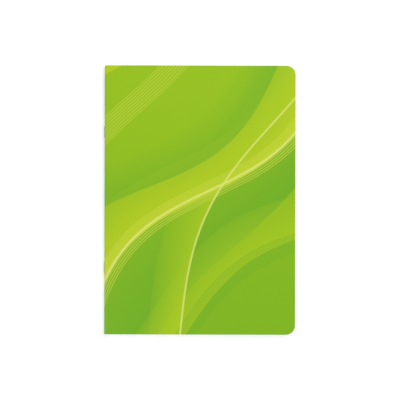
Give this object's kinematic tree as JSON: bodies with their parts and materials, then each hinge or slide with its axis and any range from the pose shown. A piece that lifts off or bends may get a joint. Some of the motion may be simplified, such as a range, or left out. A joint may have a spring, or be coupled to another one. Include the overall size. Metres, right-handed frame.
{
  "type": "stapled exercise book",
  "caption": "Closed stapled exercise book with a folded card cover, nested folded sheets, rounded fore-edge corners and wire staples; the cover turns and the book opens at its centre.",
  "frame": {"origin": "under the middle of the closed book, on the surface that its back cover lies on", "axes": "+X from the spine to the fore-edge, +Y from the tail to the head, +Z out of the front cover"},
  "size_m": [0.2116, 0.297, 0.0059],
  "materials": {
    "cover_card": "satin varnish",
    "page_paper": "smooth matt",
    "staple_wire": "drawn wire"
  },
  "bodies": {
    "back_cover": {"back_cover": "cover_card", "cover_spine": "cover_card", "sheet_folds": "page_paper"},
    "leaf_40": {"leaf_40": "page_paper"},
    "leaf_01": {"leaf_01": "page_paper"},
    "leaf_39": {"leaf_39": "page_paper"},
    "leaf_38": {"leaf_38": "page_paper"},
    "leaf_37": {"leaf_37": "page_paper"},
    "leaf_36": {"leaf_36": "page_paper"},
    "leaf_35": {"leaf_35": "page_paper"},
    "leaf_34": {"leaf_34": "page_paper"},
    "leaf_33": {"leaf_33": "page_paper"},
    "leaf_32": {"leaf_32": "page_paper"},
    "leaf_31": {"leaf_31": "page_paper"},
    "leaf_30": {"leaf_30": "page_paper"},
    "leaf_29": {"leaf_29": "page_paper"},
    "leaf_28": {"leaf_28": "page_paper"},
    "leaf_27": {"leaf_27": "page_paper"},
    "leaf_26": {"leaf_26": "page_paper"},
    "leaf_25": {"leaf_25": "page_paper"},
    "leaf_24": {"leaf_24": "page_paper"},
    "leaf_23": {"leaf_23": "page_paper"},
    "leaf_22": {"leaf_22": "page_paper"},
    "leaf_21": {"leaf_21": "page_paper"},
    "leaf_02": {"leaf_02": "page_paper"},
    "leaf_03": {"leaf_03": "page_paper"},
    "leaf_04": {"leaf_04": "page_paper"},
    "leaf_05": {"leaf_05": "page_paper"},
    "leaf_06": {"leaf_06": "page_paper"},
    "leaf_07": {"leaf_07": "page_paper"},
    "leaf_08": {"leaf_08": "page_paper"},
    "leaf_09": {"leaf_09": "page_paper"},
    "leaf_10": {"leaf_10": "page_paper"},
    "leaf_11": {"leaf_11": "page_paper"},
    "leaf_12": {"leaf_12": "page_paper"},
    "leaf_13": {"leaf_13": "page_paper"},
    "leaf_14": {"leaf_14": "page_paper"},
    "leaf_15": {"leaf_15": "page_paper"},
    "leaf_16": {"leaf_16": "page_paper"},
    "leaf_17": {"leaf_17": "page_paper"},
    "leaf_18": {"leaf_18": "page_paper"},
    "leaf_19": {"leaf_19": "page_paper"},
    "leaf_20": {"leaf_20": "page_paper"},
    "front_cover": {"front_cover": "cover_card"},
    "staples": {"lower_staple": "staple_wire", "upper_staple": "staple_wire"}
  },
  "joints": [
    {"name": "leaf_40_turn", "type": "hinge", "parent": "back_cover", "child": "leaf_40", "pos_m": [-0.10227, 0, 0.00297], "axis": [0, -1, 0], "range_deg": [0, 180]},
    {"name": "leaf_39_turn", "type": "hinge", "parent": "back_cover", "child": "leaf_39", "pos_m": [-0.10227, 0, 0.00297], "axis": [0, -1, 0], "range_deg": [0, 180]},
    {"name": "leaf_38_turn", "type": "hinge", "parent": "back_cover", "child": "leaf_38", "pos_m": [-0.10227, 0, 0.00297], "axis": [0, -1, 0], "range_deg": [0, 180]},
    {"name": "leaf_37_turn", "type": "hinge", "parent": "back_cover", "child": "leaf_37", "pos_m": [-0.10227, 0, 0.00297], "axis": [0, -1, 0], "range_deg": [0, 180]},
    {"name": "leaf_36_turn", "type": "hinge", "parent": "back_cover", "child": "leaf_36", "pos_m": [-0.10227, 0, 0.00297], "axis": [0, -1, 0], "range_deg": [0, 180]},
    {"name": "leaf_35_turn", "type": "hinge", "parent": "back_cover", "child": "leaf_35", "pos_m": [-0.10227, 0, 0.00297], "axis": [0, -1, 0], "range_deg": [0, 180]},
    {"name": "leaf_34_turn", "type": "hinge", "parent": "back_cover", "child": "leaf_34", "pos_m": [-0.10227, 0, 0.00297], "axis": [0, -1, 0], "range_deg": [0, 180]},
    {"name": "leaf_33_turn", "type": "hinge", "parent": "back_cover", "child": "leaf_33", "pos_m": [-0.10227, 0, 0.00297], "axis": [0, -1, 0], "range_deg": [0, 180]},
    {"name": "leaf_32_turn", "type": "hinge", "parent": "back_cover", "child": "leaf_32", "pos_m": [-0.10227, 0, 0.00297], "axis": [0, -1, 0], "range_deg": [0, 180]},
    {"name": "leaf_31_turn", "type": "hinge", "parent": "back_cover", "child": "leaf_31", "pos_m": [-0.10227, 0, 0.00297], "axis": [0, -1, 0], "range_deg": [0, 180]},
    {"name": "leaf_30_turn", "type": "hinge", "parent": "back_cover", "child": "leaf_30", "pos_m": [-0.10227, 0, 0.00297], "axis": [0, -1, 0], "range_deg": [0, 180]},
    {"name": "leaf_29_turn", "type": "hinge", "parent": "back_cover", "child": "leaf_29", "pos_m": [-0.10227, 0, 0.00297], "axis": [0, -1, 0], "range_deg": [0, 180]},
    {"name": "leaf_28_turn", "type": "hinge", "parent": "back_cover", "child": "leaf_28", "pos_m": [-0.10227, 0, 0.00297], "axis": [0, -1, 0], "range_deg": [0, 180]},
    {"name": "leaf_27_turn", "type": "hinge", "parent": "back_cover", "child": "leaf_27", "pos_m": [-0.10227, 0, 0.00297], "axis": [0, -1, 0], "range_deg": [0, 180]},
    {"name": "leaf_26_turn", "type": "hinge", "parent": "back_cover", "child": "leaf_26", "pos_m": [-0.10227, 0, 0.00297], "axis": [0, -1, 0], "range_deg": [0, 180]},
    {"name": "leaf_25_turn", "type": "hinge", "parent": "back_cover", "child": "leaf_25", "pos_m": [-0.10227, 0, 0.00297], "axis": [0, -1, 0], "range_deg": [0, 180]},
    {"name": "leaf_24_turn", "type": "hinge", "parent": "back_cover", "child": "leaf_24", "pos_m": [-0.10227, 0, 0.00297], "axis": [0, -1, 0], "range_deg": [0, 180]},
    {"name": "leaf_23_turn", "type": "hinge", "parent": "back_cover", "child": "leaf_23", "pos_m": [-0.10227, 0, 0.00297], "axis": [0, -1, 0], "range_deg": [0, 180]},
    {"name": "leaf_22_turn", "type": "hinge", "parent": "back_cover", "child": "leaf_22", "pos_m": [-0.10227, 0, 0.00297], "axis": [0, -1, 0], "range_deg": [0, 180]},
    {"name": "leaf_21_turn", "type": "hinge", "parent": "back_cover", "child": "leaf_21", "pos_m": [-0.10227, 0, 0.00297], "axis": [0, -1, 0], "range_deg": [0, 180]},
    {"name": "book_opening", "type": "hinge", "parent": "leaf_40", "child": "leaf_01", "pos_m": [-0.10227, 0, 0.00297], "axis": [0, -1, 0], "range_deg": [0, 179.97], "deforming": ["sheet_folds", "cover_spine"]},
    {"name": "leaf_02_turn", "type": "hinge", "parent": "leaf_39", "child": "leaf_02", "pos_m": [-0.10227, 0, 0.00297], "axis": [0, -1, 0], "range_deg": [0, 180]},
    {"name": "leaf_03_turn", "type": "hinge", "parent": "leaf_38", "child": "leaf_03", "pos_m": [-0.10227, 0, 0.00297], "axis": [0, -1, 0], "range_deg": [0, 180]},
    {"name": "leaf_04_turn", "type": "hinge", "parent": "leaf_37", "child": "leaf_04", "pos_m": [-0.10227, 0, 0.00297], "axis": [0, -1, 0], "range_deg": [0, 180]},
    {"name": "leaf_05_turn", "type": "hinge", "parent": "leaf_36", "child": "leaf_05", "pos_m": [-0.10227, 0, 0.00297], "axis": [0, -1, 0], "range_deg": [0, 180]},
    {"name": "leaf_06_turn", "type": "hinge", "parent": "leaf_35", "child": "leaf_06", "pos_m": [-0.10227, 0, 0.00297], "axis": [0, -1, 0], "range_deg": [0, 180]},
    {"name": "leaf_07_turn", "type": "hinge", "parent": "leaf_34", "child": "leaf_07", "pos_m": [-0.10227, 0, 0.00297], "axis": [0, -1, 0], "range_deg": [0, 180]},
    {"name": "leaf_08_turn", "type": "hinge", "parent": "leaf_33", "child": "leaf_08", "pos_m": [-0.10227, 0, 0.00297], "axis": [0, -1, 0], "range_deg": [0, 180]},
    {"name": "leaf_09_turn", "type": "hinge", "parent": "leaf_32", "child": "leaf_09", "pos_m": [-0.10227, 0, 0.00297], "axis": [0, -1, 0], "range_deg": [0, 180]},
    {"name": "leaf_10_turn", "type": "hinge", "parent": "leaf_31", "child": "leaf_10", "pos_m": [-0.10227, 0, 0.00297], "axis": [0, -1, 0], "range_deg": [0, 180]},
    {"name": "leaf_11_turn", "type": "hinge", "parent": "leaf_30", "child": "leaf_11", "pos_m": [-0.10227, 0, 0.00297], "axis": [0, -1, 0], "range_deg": [0, 180]},
    {"name": "leaf_12_turn", "type": "hinge", "parent": "leaf_29", "child": "leaf_12", "pos_m": [-0.10227, 0, 0.00297], "axis": [0, -1, 0], "range_deg": [0, 180]},
    {"name": "leaf_13_turn", "type": "hinge", "parent": "leaf_28", "child": "leaf_13", "pos_m": [-0.10227, 0, 0.00297], "axis": [0, -1, 0], "range_deg": [0, 180]},
    {"name": "leaf_14_turn", "type": "hinge", "parent": "leaf_27", "child": "leaf_14", "pos_m": [-0.10227, 0, 0.00297], "axis": [0, -1, 0], "range_deg": [0, 180]},
    {"name": "leaf_15_turn", "type": "hinge", "parent": "leaf_26", "child": "leaf_15", "pos_m": [-0.10227, 0, 0.00297], "axis": [0, -1, 0], "range_deg": [0, 180]},
    {"name": "leaf_16_turn", "type": "hinge", "parent": "leaf_25", "child": "leaf_16", "pos_m": [-0.10227, 0, 0.00297], "axis": [0, -1, 0], "range_deg": [0, 180]},
    {"name": "leaf_17_turn", "type": "hinge", "parent": "leaf_24", "child": "leaf_17", "pos_m": [-0.10227, 0, 0.00297], "axis": [0, -1, 0], "range_deg": [0, 180]},
    {"name": "leaf_18_turn", "type": "hinge", "parent": "leaf_23", "child": "leaf_18", "pos_m": [-0.10227, 0, 0.00297], "axis": [0, -1, 0], "range_deg": [0, 180]},
    {"name": "leaf_19_turn", "type": "hinge", "parent": "leaf_22", "child": "leaf_19", "pos_m": [-0.10227, 0, 0.00297], "axis": [0, -1, 0], "range_deg": [0, 180]},
    {"name": "leaf_20_turn", "type": "hinge", "parent": "leaf_21", "child": "leaf_20", "pos_m": [-0.10227, 0, 0.00297], "axis": [0, -1, 0], "range_deg": [0, 180]},
    {"name": "front_cover_turn", "type": "hinge", "parent": "leaf_01", "child": "front_cover", "pos_m": [-0.10188, 0, 0.00629], "axis": [0, 1, 0], "range_deg": [-179.5, 0]},
    {"name": "staples_turn", "type": "hinge", "parent": "back_cover", "child": "staples", "pos_m": [-0.10227, 0, 0.00297], "axis": [0, -1, 0], "range_deg": [0, 90]}
  ],
  "couplings": [
    {"joint": "leaf_40_turn", "follows": "book_opening", "ratio": 0.00016669},
    {"joint": "leaf_39_turn", "follows": "book_opening", "ratio": 0.00033339},
    {"joint": "leaf_38_turn", "follows": "book_opening", "ratio": 0.00050008},
    {"joint": "leaf_37_turn", "follows": "book_opening", "ratio": 0.00066678},
    {"joint": "leaf_36_turn", "follows": "book_opening", "ratio": 0.00083347},
    {"joint": "leaf_35_turn", "follows": "book_opening", "ratio": 0.0010002},
    {"joint": "leaf_34_turn", "follows": "book_opening", "ratio": 0.0011669},
    {"joint": "leaf_33_turn", "follows": "book_opening", "ratio": 0.0013336},
    {"joint": "leaf_32_turn", "follows": "book_opening", "ratio": 0.0015003},
    {"joint": "leaf_31_turn", "follows": "book_opening", "ratio": 0.0016669},
    {"joint": "leaf_30_turn", "follows": "book_opening", "ratio": 0.0018336},
    {"joint": "leaf_29_turn", "follows": "book_opening", "ratio": 0.0020003},
    {"joint": "leaf_28_turn", "follows": "book_opening", "ratio": 0.002167},
    {"joint": "leaf_27_turn", "follows": "book_opening", "ratio": 0.0023337},
    {"joint": "leaf_26_turn", "follows": "book_opening", "ratio": 0.0025004},
    {"joint": "leaf_25_turn", "follows": "book_opening", "ratio": 0.0026671},
    {"joint": "leaf_24_turn", "follows": "book_opening", "ratio": 0.0028338},
    {"joint": "leaf_23_turn", "follows": "book_opening", "ratio": 0.0030005},
    {"joint": "leaf_22_turn", "follows": "book_opening", "ratio": 0.0031672},
    {"joint": "leaf_21_turn", "follows": "book_opening", "ratio": 0.0033339},
    {"joint": "leaf_02_turn", "follows": "book_opening", "ratio": 0.99967},
    {"joint": "leaf_03_turn", "follows": "book_opening", "ratio": 0.99933},
    {"joint": "leaf_04_turn", "follows": "book_opening", "ratio": 0.999},
    {"joint": "leaf_05_turn", "follows": "book_opening", "ratio": 0.99867},
    {"joint": "leaf_06_turn", "follows": "book_opening", "ratio": 0.99833},
    {"joint": "leaf_07_turn", "follows": "book_opening", "ratio": 0.998},
    {"joint": "leaf_08_turn", "follows": "book_opening", "ratio": 0.99767},
    {"joint": "leaf_09_turn", "follows": "book_opening", "ratio": 0.99733},
    {"joint": "leaf_10_turn", "follows": "book_opening", "ratio": 0.997},
    {"joint": "leaf_11_turn", "follows": "book_opening", "ratio": 0.99667},
    {"joint": "leaf_12_turn", "follows": "book_opening", "ratio": 0.99633},
    {"joint": "leaf_13_turn", "follows": "book_opening", "ratio": 0.996},
    {"joint": "leaf_14_turn", "follows": "book_opening", "ratio": 0.99567},
    {"joint": "leaf_15_turn", "follows": "book_opening", "ratio": 0.99533},
    {"joint": "leaf_16_turn", "follows": "book_opening", "ratio": 0.995},
    {"joint": "leaf_17_turn", "follows": "book_opening", "ratio": 0.99467},
    {"joint": "leaf_18_turn", "follows": "book_opening", "ratio": 0.99433},
    {"joint": "leaf_19_turn", "follows": "book_opening", "ratio": 0.994},
    {"joint": "leaf_20_turn", "follows": "book_opening", "ratio": 0.99367},
    {"joint": "staples_turn", "follows": "book_opening", "ratio": 0.5}
  ]
}
